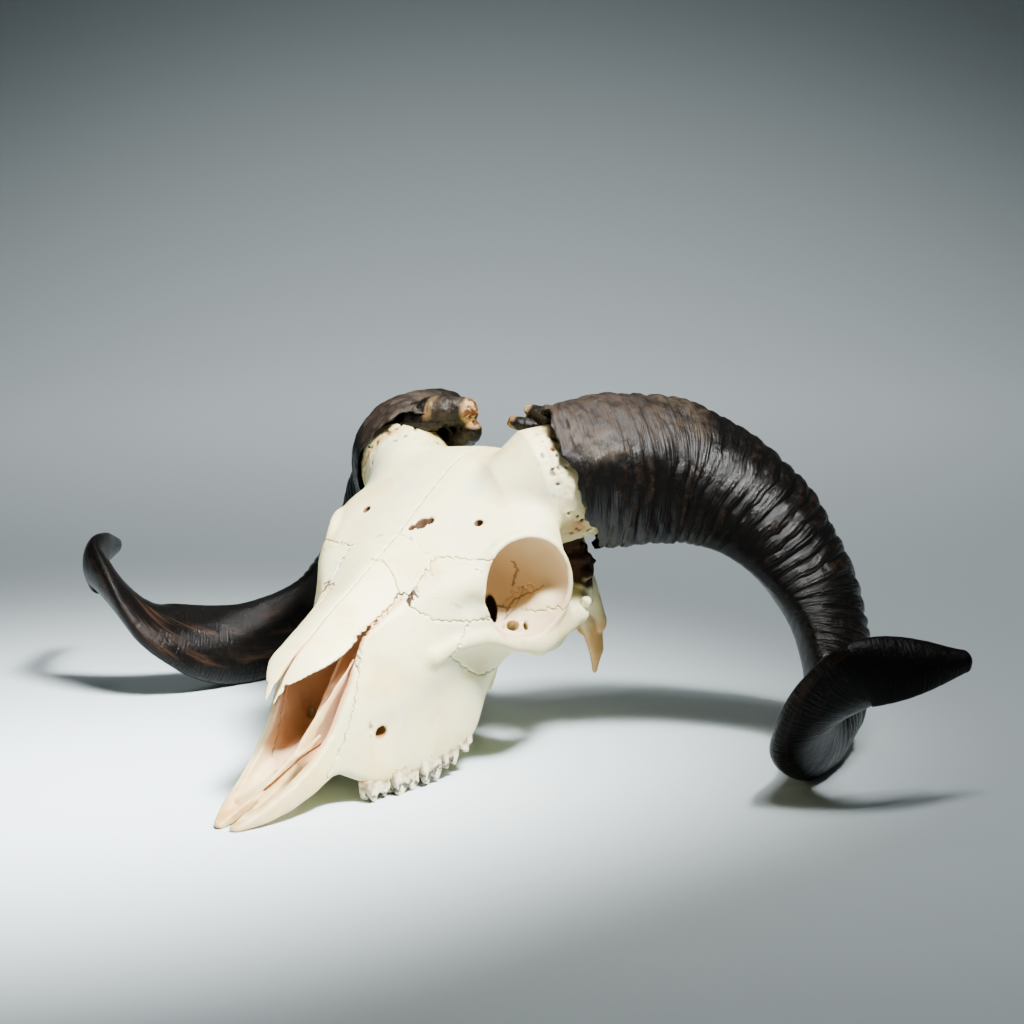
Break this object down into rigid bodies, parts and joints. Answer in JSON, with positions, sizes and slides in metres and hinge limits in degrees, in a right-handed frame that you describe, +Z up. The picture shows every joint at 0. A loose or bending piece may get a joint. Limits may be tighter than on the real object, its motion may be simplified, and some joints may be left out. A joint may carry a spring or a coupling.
{
  "type": "ram skull",
  "caption": "Dry skull of a ram with both spiral horns and upper teeth, no lower jaw, resting on its teeth, muzzle and horns as a display piece.",
  "frame": {"origin": "middle of the bounding box's floor face", "axes": "+Z up, -Y the way the muzzle points, +X to the animal's left"},
  "size_m": [0.5234, 0.3136, 0.1717],
  "materials": {
    "bone": "matte",
    "nose_bone": "matte",
    "horn": "satin"
  },
  "bodies": {
    "root": {"zygomatic_left": "bone", "lacrimal_left": "bone", "frontal_left": "bone", "nasal_left": "bone", "premaxilla_left": "bone", "maxilla_left": "bone", "zygomatic_right": "bone", "lacrimal_right": "bone", "frontal_right": "bone", "nasal_right": "bone", "premaxilla_right": "bone", "maxilla_right": "bone", "braincase": "bone", "vomer": "nose_bone", "horn_base_left": "horn", "horn_middle_left": "horn", "horn_tip_left": "horn", "horn_base_right": "horn", "horn_middle_right": "horn", "horn_tip_right": "horn"}
  },
  "joints": []
}
